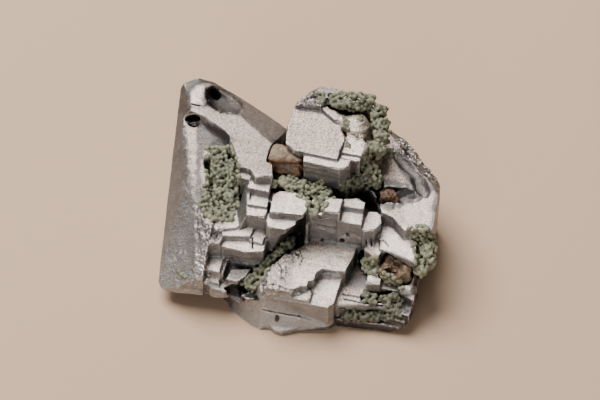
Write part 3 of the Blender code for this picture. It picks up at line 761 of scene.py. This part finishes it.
def knob_lift(places, rng):
    """From 0 to 1: how far each place stands out on the round knobs that the grains make up."""
    knobs = places[spread_out(places, np.full(len(places), KNOB_SPACING))]
    height = rng.uniform(*KNOB_TOPS, len(knobs))
    lift = np.zeros(len(places))
    for knob, top in zip(knobs, height):
        reach = np.linalg.norm(places - knob, axis=1) / (KNOB_REACH * KNOB_SPACING)
        lift = np.maximum(lift, top * (1 - np.minimum(reach, 1.0) ** 2))
    return lift


def balls_mesh(name, middles, radii, core_points, core_triangles):
    """One mesh of many balls and a core."""
    template, faces = ball_template()
    points = (middles[:, None, :] + radii[:, None, None] * template[None]).reshape(-1, 3)
    offsets = np.arange(len(middles))[:, None, None] * len(template)
    triangles = (faces[None] + offsets).reshape(-1, 3)
    triangles = np.concatenate([triangles, core_triangles + len(points)])
    points = np.concatenate([points, core_points])
    mesh = bpy.data.meshes.new(name)
    mesh.from_pydata((points * MM).tolist(), [], triangles.tolist())
    return mesh


def grain_crust(name, shade_and_tone, outlines, tree, seed):
    """A crust as a mass of rounded grains on its CAD solid and where the photograph shows them."""
    cad = nodes[name]
    rng = np.random.default_rng(seed)
    cad_points = points_of(cad)
    cad_triangles = triangles_of(cad)
    middles, outward = triangle_samples(cad_points, cad_triangles, GRAIN_DENSITY, rng)
    lift = knob_lift(middles, rng)
    depth = KNOB_HEIGHT * (1.0 - lift) + rng.uniform(-GRAIN_DEPTH, GRAIN_DEPTH, len(middles))
    middles = middles - outward * depth[:, None]
    patch = [place for outline in outlines
             for place in places_in_outline(outline, PATCH_SPACING, tree, rng)]
    middles = np.concatenate([np.array(patch).reshape(-1, 3), middles])
    coarseness = seeded_noise(middles, seed, SPACING_NOISE)
    spacing = GRAIN_SPACING * (SPACING_LEAST + SPACING_MORE * coarseness)
    chosen = spread_out(middles, spacing)
    middles = middles[chosen]
    radii = rng.uniform(*GRAIN_RADII, len(middles)) * spacing[chosen]
    core = cad_points - CORE_DEPTH * normals_of(cad)
    piece = new_object(name + "_grains", balls_mesh(name, middles, radii, core, cad_triangles))
    remesh(piece, CRUST_VOXEL)
    points = points_of(piece)
    lumpy = seeded_noise(points, seed, LUMP_NOISE) - 0.5
    points += normals_of(piece) * (LUMP_HEIGHT * lumpy)[:, None]
    put_points(piece, points)
    mark_surface(piece, CRUST_RELIEFS)
    store(piece, "shade_and_tone", np.full(len(points), shade_and_tone))
    return piece


# ------ siderite


# The brown crystals. Where each is tan is an amount and an outline, its hollows are a depth in mm
# and an outline, and outlines and cracks are in pixels of the photograph's frame. Lumps and swell
# are heights in mm, rounding is in passes, and rust is how much its dark skin hides the brown.
SIDERITES = {
    "siderite_center": {
        "tan": [(1.0, [(262, 144), (306, 148), (306, 160), (286, 157), (264, 160)])],
        "hollows": [(0.35, [(272, 162), (300, 163), (300, 169), (276, 168)])],
        "cracks": [[(266, 160), (276, 164), (288, 165), (302, 163)]],
        "lumps": 0.9, "swell": 0.12, "rounding": 24, "rust": 0.0,
    },
    "siderite_right": {
        "tan": [(1.0, [(384, 252), (416, 254), (416, 292), (392, 292), (404, 276), (402, 260),
                       (390, 256)])],
        "hollows": [(1.2, [(384, 259), (392, 257), (401, 262), (402, 271), (394, 276), (385, 272)])],
        "cracks": [],
        "lumps": 1.7, "swell": 0.05, "rounding": 60, "rust": 0.6,
    },
    "siderite_small": {
        "tan": [], "hollows": [], "cracks": [],
        "lumps": 2.0, "swell": -0.35, "rounding": 40, "rust": 1.0,
    },
}
SIDERITE_SEED = 200
HOLLOW_PASSES = 8
TAN_FEATHER = 2.0
TAN_WANDER = 3.0
# A crack's groove in pixels, from its edge to its bottom, and its depth in mm.
CRACK_GROOVE = (2.2, 0.4)
CRACK_DEPTH = 0.7
# How far the layers wander and how high they are, in mm, their stretch and thickness, and steps.
LAYER_WARP = 0.5
LAYER_HEIGHT = 0.22
LAYER_SHAPE = (0.15, 0.5)
LAYER_STEPS = 3
# Noises: the wavelength in mm, what is added to the crystal's seed, and the octaves.
LAYER_NOISE = (1.6, 0, 3)
LAYER_SEED = 3
BROWN_LUMPS = (1.4, 5, 3)
TAN_NOISE = (0.9, 9, 3)


def siderite_piece(name, look, seed):
    """A brown crystal with a layered, cracked skin."""
    piece = new_object(name + "_crystal", nodes[name].data.copy())
    remesh(piece, SIDERITE_VOXEL)
    points = points_of(piece)
    normals = normals_of(piece)
    edges = edges_of(piece)
    pixels, depth = pixels_of(points)
    seen = seen_by_camera(pixels, depth)
    points = smoothed(points, edges, look["rounding"])
    for drop, outline in look["hollows"]:
        hollow = region(pixels, outline, NARROW_FEATHER) * seen
        points -= normals * (drop * smoothed(hollow[:, None], edges, HOLLOW_PASSES))
    for path in look["cracks"]:
        groove = smoothstep(*CRACK_GROOVE, distance_to_path(pixels, path)) * seen
        points -= normals * (CRACK_DEPTH * groove)[:, None]
    axes = crystal_axes(points) + LAYER_WARP * (seeded_noise(points, seed, LAYER_NOISE)[:, None] - 0.5)
    layers = stepped_layers(axes, axes[:, 2], *LAYER_SHAPE, seed + LAYER_SEED, LAYER_STEPS)
    lumps = seeded_noise(points, seed, BROWN_LUMPS) - 0.5
    swell = look["swell"] + LAYER_HEIGHT * (layers - 0.5) + look["lumps"] * lumps
    points += normals * swell[:, None]
    put_points(piece, points)
    mark_surface(piece)
    ragged = pixels + TAN_WANDER * (seeded_noise(points, seed, TAN_NOISE)[:, None] - 0.5)
    store(piece, "tan", strongest(ragged, look["tan"], TAN_FEATHER))
    store(piece, "rusty", np.full(len(points), look["rust"]))
    return piece


# ------ materials


def shader_tree(name):
    """A new material, its node tree and its Principled shader."""
    material = bpy.data.materials.new(name)
    material.use_nodes = True
    tree = material.node_tree
    return material, tree, tree.nodes["Principled BSDF"]


def node(tree, kind, inputs=None, **settings):
    """A new node. Each input is a number, a colour or the socket that feeds it."""
    made = tree.nodes.new(kind)
    for key, value in settings.items():
        setattr(made, key, value)
    for key, value in (inputs or {}).items():
        if isinstance(value, bpy.types.NodeSocket):
            tree.links.new(value, made.inputs[key])
        else:
            made.inputs[key].default_value = value
    return made


def object_place(tree):
    """Object coordinates in millimetres."""
    place = node(tree, "ShaderNodeTexCoord").outputs["Object"]
    return node(tree, "ShaderNodeVectorMath", {0: place, 3: 1000.0}, operation="SCALE").outputs[0]


def noise_value(tree, place, scale, detail=3.0, roughness=0.6, distortion=0.0):
    return node(tree, "ShaderNodeTexNoise",
                {"Vector": place, "Scale": scale, "Detail": detail, "Roughness": roughness,
                 "Distortion": distortion}).outputs["Fac"]


def remap(tree, value, low, high, out_low=0.0, out_high=1.0):
    return node(tree, "ShaderNodeMapRange",
                {"Value": value, "From Min": low, "From Max": high, "To Min": out_low,
                 "To Max": out_high}).outputs["Result"]


def mix_colour(tree, factor, first, second):
    """Blend two colours, each a socket or an (r, g, b)."""
    mix = node(tree, "ShaderNodeMix", data_type="RGBA")
    for index, value in ((0, factor), (6, first), (7, second)):
        if isinstance(value, bpy.types.NodeSocket):
            tree.links.new(value, mix.inputs[index])
        elif index == 0:
            mix.inputs[index].default_value = value
        else:
            mix.inputs[index].default_value = (*value, 1.0)
    return mix.outputs[2]


def arithmetic(tree, operation, first, second):
    return node(tree, "ShaderNodeMath", {0: first, 1: second}, operation=operation).outputs[0]


def scaled(tree, value, factor):
    return arithmetic(tree, "MULTIPLY", value, factor)


def z_of(tree, vector):
    return node(tree, "ShaderNodeSeparateXYZ", {0: vector}).outputs["Z"]


def attribute(tree, name):
    return node(tree, "ShaderNodeAttribute", attribute_name=name).outputs["Fac"]


def bump(tree, height, distance, strength=1.0, under=None):
    inputs = {"Height": height, "Distance": distance, "Strength": strength}
    if under is not None:
        inputs["Normal"] = under
    return node(tree, "ShaderNodeBump", inputs).outputs["Normal"]


# Colours of the galena. Pairs go from dark to light: the grey body, the painted highlight on the level
# faces, and the brighter painted highlight on chosen faces.
BODY_GREYS = ((0.355, 0.357, 0.363), (0.545, 0.549, 0.56))
LEVEL_HIGHLIGHT_COLOURS = ((0.25, 0.20, 0.172), (0.83, 0.69, 0.615))
BOOSTED_HIGHLIGHT_COLOURS = ((0.60, 0.52, 0.475), (1.0, 0.91, 0.84))
SPECK_GREY = (0.22, 0.214, 0.214)
# The grey of dull metal and of painted shade.
DULL_SHADE_GREY = (0.15, 0.146, 0.146)
# The painted reflection of the floor at the foot.
FLOOR_REFLECTION_GREY = (0.75, 0.76, 0.78)
BLACK = (0.0, 0.0, 0.0)
# The black of painted shadow.
PAINTED_SHADOW_BLACK = (0.02, 0.019, 0.018)
# The colour that darkens the low spots.
LOW_SPOT_DARK = (0.075, 0.062, 0.054)
PINHOLE = (0.09, 0.078, 0.07)
# Worn edges, lighter as wear and as a painted highlight.
WORN_LIT_EDGE = (0.86, 0.82, 0.80)
# The colour of the painted glints.
PAINTED_GLINT = (0.92, 0.90, 0.88)

# The noises of the finishes and of the painted glints: scale for each mm, detail, roughness and
# distortion.
MOTTLE = (0.55, 4.0, 0.65)
GALENA_SPECKLE = (3.8, 3.0, 0.75)
PINHOLES = (2.2, 2.0, 0.7)
GLINTS = (1.4, 1.0, 0.5)
SPARKS = (2.7, 2.0, 0.7)
FLAKE_SCALE = 3.2
GREEN_PATCHES = (0.35, 3.0)
GREEN_SPECKLE = (4.0, 3.0, 0.7)
GREEN_GRAINS = (1.3, 2.0, 0.6)
BROWN_PATCHES = (1.0, 4.0, 0.7)
BROWN_SPECKLE = (4.5, 3.0, 0.7)
RUST_PATCHES = (0.9, 2.0, 0.5, 0.6)


def galena_material():
    """Grey metal with a painted highlight on the level faces, dull where it is etched, and with
    painted shade in the recesses.
    """
    material, tree, shader = shader_tree("galena_metal")
    place = object_place(tree)
    normal = node(tree, "ShaderNodeNewGeometry").outputs["Normal"]
    upward = remap(tree, z_of(tree, normal), 0.80, 0.97)
    mottle = noise_value(tree, place, *MOTTLE)
    speckle = noise_value(tree, place, *GALENA_SPECKLE)
    dull_and_shade = attribute(tree, "dull_and_shade")

    # Painted shade darkens the body higher up, and a painted reflection of the pale floor lightens it
    # at the foot.
    body = mix_colour(tree, remap(tree, mottle, 0.35, 0.68), *BODY_GREYS)
    body = mix_colour(tree, remap(tree, speckle, 0.38, 0.62, 0.75, 0.0), body, SPECK_GREY)
    # Dull metal and painted shade turn the body grey.
    body = mix_colour(tree, remap(tree, dull_and_shade, 0.0, 1.35, 0.0, 0.95), body, DULL_SHADE_GREY)
    height = z_of(tree, place)
    body = mix_colour(tree, remap(tree, height, 4.0, 17.0, 0.0, 0.45), body, BLACK)
    body = mix_colour(tree, remap(tree, height, 1.5, 7.0, 0.12, 0.0), body, FLOOR_REFLECTION_GREY)

    # The painted highlight is on level faces, and also on slopes where they are frosted.
    level_highlight = mix_colour(tree, remap(tree, speckle, 0.38, 0.60), *LEVEL_HIGHLIGHT_COLOURS)
    # A brighter painted highlight on chosen faces.
    boosted_highlight = mix_colour(tree, remap(tree, speckle, 0.36, 0.60), *BOOSTED_HIGHLIGHT_COLOURS)
    level_highlight = mix_colour(tree, scaled(tree, attribute(tree, "highlight_boost"), 0.85), level_highlight, boosted_highlight)
    # The painted highlight fades where the metal is dull and where shade is painted.
    bright = scaled(tree, upward, remap(tree, dull_and_shade, 0.0, 1.0, 1.0, 0.12))
    # Frosted slopes get the painted highlight too.
    bright = arithmetic(tree, "MAXIMUM", bright, attribute(tree, "slope_highlight"))
    base = mix_colour(tree, bright, body, level_highlight)
    # From 1.35 on, the marks paint black shadow.
    base = mix_colour(tree, remap(tree, dull_and_shade, 1.35, 1.6), base, PAINTED_SHADOW_BLACK)

    # Darker low spots, pinholes, edges lightened as wear and as a painted highlight, and painted shade
    # where the sky is hidden.
    fine = attribute(tree, "relief_fine")
    relief = arithmetic(tree, "ADD", fine, scaled(tree, attribute(tree, "relief_broad"), 0.12))
    low_spot_dark = remap(tree, relief, -0.05, -0.16)
    base = mix_colour(tree, scaled(tree, low_spot_dark, 0.7), base, LOW_SPOT_DARK)
    pinholes = remap(tree, noise_value(tree, place, *PINHOLES), 0.61, 0.70)
    base = mix_colour(tree, scaled(tree, pinholes, 0.6), base, PINHOLE)
    # Convex edges are lightened, partly as worn metal and partly as a painted highlight.
    worn_lit_edge = remap(tree, fine, 0.02, 0.08)
    base = mix_colour(tree, scaled(tree, worn_lit_edge, 0.45), base, WORN_LIT_EDGE)
    shade = remap(tree, attribute(tree, "openness"), 0.1, 0.75, 0.12, 1.0)
    base = mix_colour(tree, shade, BLACK, base)

    # Painted glints on broken facets, and a few painted sparks everywhere.
    facets = remap(tree, noise_value(tree, place, *GLINTS), 0.60, 0.66)
    facets = scaled(tree, facets, attribute(tree, "glint_share"))
    sparks = remap(tree, noise_value(tree, place, *SPARKS), 0.715, 0.76, 0.0, 0.45)
    painted_glint = arithmetic(tree, "MAXIMUM", facets, sparks)
    base = mix_colour(tree, painted_glint, base, PAINTED_GLINT)
    tree.links.new(base, shader.inputs["Base Color"])
    shader.inputs["Metallic"].default_value = 0.9
    roughness = arithmetic(tree, "ADD", remap(tree, speckle, 0.3, 0.7, 0.32, 0.48),
                           scaled(tree, upward, 0.12))
    roughness = arithmetic(tree, "SUBTRACT", roughness, scaled(tree, painted_glint, 0.12))
    tree.links.new(roughness, shader.inputs["Roughness"])
    flakes = node(tree, "ShaderNodeTexVoronoi", {"Vector": place, "Scale": FLAKE_SCALE},
                  feature="F1", distance="CHEBYCHEV").outputs["Distance"]
    fine_bump = bump(tree, speckle, 0.00014, 1.0)
    tree.links.new(bump(tree, flakes, 0.00005, 0.5, fine_bump), shader.inputs["Normal"])
    return material


# Colours of the crusts: the green from dark to light, pale and dark grains, the speckles, the painted
# shade and darker tone, and the painted shade in the deepest gaps.
GREENS = ((0.085, 0.105, 0.066), (0.225, 0.235, 0.145))
PALE_GRAIN = (0.33, 0.33, 0.22)
DARK_GRAIN = (0.055, 0.068, 0.042)
GREEN_SPECK = (0.36, 0.36, 0.26)
SHADE_AND_TONE_DARK = (0.03, 0.03, 0.022)
GAP_SHADE = (0.014, 0.016, 0.010)


def crust_material():
    """Sage green grains, with painted shade in the gaps between them and between the knobs."""
    material, tree, shader = shader_tree("pyromorphite_green")
    place = object_place(tree)
    patch = noise_value(tree, place, *GREEN_PATCHES)
    speckle = noise_value(tree, place, *GREEN_SPECKLE)
    grains = noise_value(tree, place, *GREEN_GRAINS)
    green = mix_colour(tree, remap(tree, patch, 0.38, 0.62), *GREENS)
    green = mix_colour(tree, remap(tree, grains, 0.42, 0.66, 0.0, 0.55), green, PALE_GRAIN)
    green = mix_colour(tree, remap(tree, grains, 0.48, 0.34, 0.0, 0.6), green, DARK_GRAIN)
    green = mix_colour(tree, remap(tree, speckle, 0.38, 0.66, 0.0, 0.5), green, GREEN_SPECK)
    broad = scaled(tree, attribute(tree, "relief_broad"), 0.55)
    relief = arithmetic(tree, "ADD", attribute(tree, "relief_fine"), broad)
    relief = arithmetic(tree, "ADD", relief, scaled(tree, attribute(tree, "relief_knob"), 0.4))
    # Each crust is darkened by its own amount, partly painted shade and partly a darker tone.
    green = mix_colour(tree, attribute(tree, "shade_and_tone"), green, SHADE_AND_TONE_DARK)
    # Painted shade in the gaps between grains and between knobs.
    base = mix_colour(tree, remap(tree, relief, 0.10, -0.14), green, GAP_SHADE)
    tree.links.new(base, shader.inputs["Base Color"])
    shader.inputs["Roughness"].default_value = 0.5
    shader.inputs["Specular IOR Level"].default_value = 0.5
    tree.links.new(bump(tree, speckle, 0.00016, 1.0), shader.inputs["Normal"])
    return material


# Colours of the brown crystals. Pairs go from dark to light: brown, tan, and the rusty skin.
BROWNS = ((0.075, 0.044, 0.028), (0.24, 0.145, 0.09))
TANS = ((0.095, 0.072, 0.045), (0.25, 0.185, 0.12))
RUSTY_SKIN = ((0.02, 0.013, 0.009), (0.14, 0.058, 0.028))
RUST = (0.30, 0.085, 0.022)
BROWN_SPECK = (0.36, 0.27, 0.18)
# The painted shade in the gaps and cracks.
BROWN_GAP_SHADE = (0.03, 0.018, 0.012)


def siderite_material():
    """Satin brown with rust, tan in places, and with painted shade in the gaps between its layers."""
    material, tree, shader = shader_tree("siderite_brown")
    place = object_place(tree)
    patch = noise_value(tree, place, *BROWN_PATCHES)
    speckle = noise_value(tree, place, *BROWN_SPECKLE)
    rust = noise_value(tree, place, *RUST_PATCHES)
    patchy = remap(tree, patch, 0.36, 0.64)
    rusty = attribute(tree, "rusty")
    brown = mix_colour(tree, patchy, *BROWNS)
    brown = mix_colour(tree, remap(tree, rust, 0.54, 0.64, 0.0, 0.8), brown, RUST)
    skin = mix_colour(tree, remap(tree, speckle, 0.42, 0.62), *RUSTY_SKIN)
    brown = mix_colour(tree, rusty, brown, skin)
    brown = mix_colour(tree, attribute(tree, "tan"), brown, mix_colour(tree, patchy, *TANS))
    lighter = scaled(tree, remap(tree, speckle, 0.42, 0.7, 0.0, 0.4),
                     remap(tree, rusty, 0.0, 1.0, 1.0, 0.1))
    brown = mix_colour(tree, lighter, brown, BROWN_SPECK)
    # Painted shade in the gaps between the layers and in the cracks.
    gaps = remap(tree, attribute(tree, "relief_fine"), 0.0, -0.06)
    base = mix_colour(tree, gaps, brown, BROWN_GAP_SHADE)
    tree.links.new(base, shader.inputs["Base Color"])
    shader.inputs["Roughness"].default_value = 0.5
    tree.links.new(bump(tree, speckle, 0.0001, 0.8), shader.inputs["Normal"])
    return material


# ------ the set


def area_light(name, place, size, power, colour):
    data = bpy.data.lights.new(name, "AREA")
    data.shape = "DISK"
    data.size = size * MM
    data.energy = power
    data.color = colour
    light = new_object(name, data)
    light.location = Vector(place) * MM
    light.rotation_euler = (Vector(place) - LIT_MIDDLE).to_track_quat("Z", "Y").to_euler()
    return light


# The floor is a square, this many metres from its middle to its sides.
FLOOR_REACH = 1.5
FLOOR_COLOUR = (0.50, 0.355, 0.25, 1.0)
FLOOR_ROUGHNESS = 0.9
# Lights: name, place and size in mm, power in watts and colour. They point at the middle.
LIGHTS = (
    ("key", (-165, 200, 525), 430, 7.9, (1.0, 0.955, 0.91)),
    ("front", (-130, -440, 140), 300, 1.0, (1.0, 0.97, 0.94)),
)
LIT_MIDDLE = Vector((0, 0, 10))
WORLD_COLOUR = (0.62, 0.57, 0.52, 1.0)
WORLD_STRENGTH = 0.20


def make_floor():
    mesh = bpy.data.meshes.new("floor")
    corners = [(x * FLOOR_REACH, y * FLOOR_REACH, 0) for x, y in ((-1, -1), (1, -1), (1, 1), (-1, 1))]
    mesh.from_pydata(corners, [], [(0, 1, 2, 3)])
    floor = new_object("floor", mesh)
    material, _, shader = shader_tree("floor_pale")
    shader.inputs["Base Color"].default_value = FLOOR_COLOUR
    shader.inputs["Roughness"].default_value = FLOOR_ROUGHNESS
    mesh.materials.append(material)


def make_set():
    """A pale floor, soft lights and the camera."""
    make_floor()
    for light in LIGHTS:
        area_light(*light)
    world = bpy.data.worlds.new("studio")
    world.use_nodes = True
    background = world.node_tree.nodes["Background"]
    background.inputs["Color"].default_value = WORLD_COLOUR
    background.inputs["Strength"].default_value = WORLD_STRENGTH
    bpy.context.scene.world = world
    camera = new_object("camera", bpy.data.cameras.new("camera"))
    camera.data.sensor_width = SENSOR_WIDTH
    camera.data.lens = FOCAL_PX * SENSOR_WIDTH / IMAGE_SIZE[0]
    camera.location = CAMERA_PLACE * MM
    camera.rotation_euler = (math.pi / 2 - CAMERA_ELEVATION, 0, 0)
    bpy.context.scene.camera = camera


def dress(piece, name, material):
    """Give a piece its finish and let it stand for its CAD node."""
    piece.data.materials.clear()
    piece.data.materials.append(material)
    piece.data.shade_smooth()
    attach(piece, "root")
    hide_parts(name)


def main():
    galena = worn_galena()
    dress(galena, "galena", galena_material())
    galena.data.set_sharp_from_angle(angle=SHARP_ANGLE)
    green = crust_material()
    brown = siderite_material()
    tree = surface_tree([galena] + [cad for name, cad in nodes.items() if name != "galena"])
    for seed, (name, (shade_and_tone, outlines)) in enumerate(CRUSTS.items()):
        crust = grain_crust(name, shade_and_tone, outlines, tree, CRUST_SEED + seed)
        dress(crust, name, green)
    for seed, (name, look) in enumerate(SIDERITES.items()):
        dress(siderite_piece(name, look, SIDERITE_SEED + seed), name, brown)
    make_set()


main()
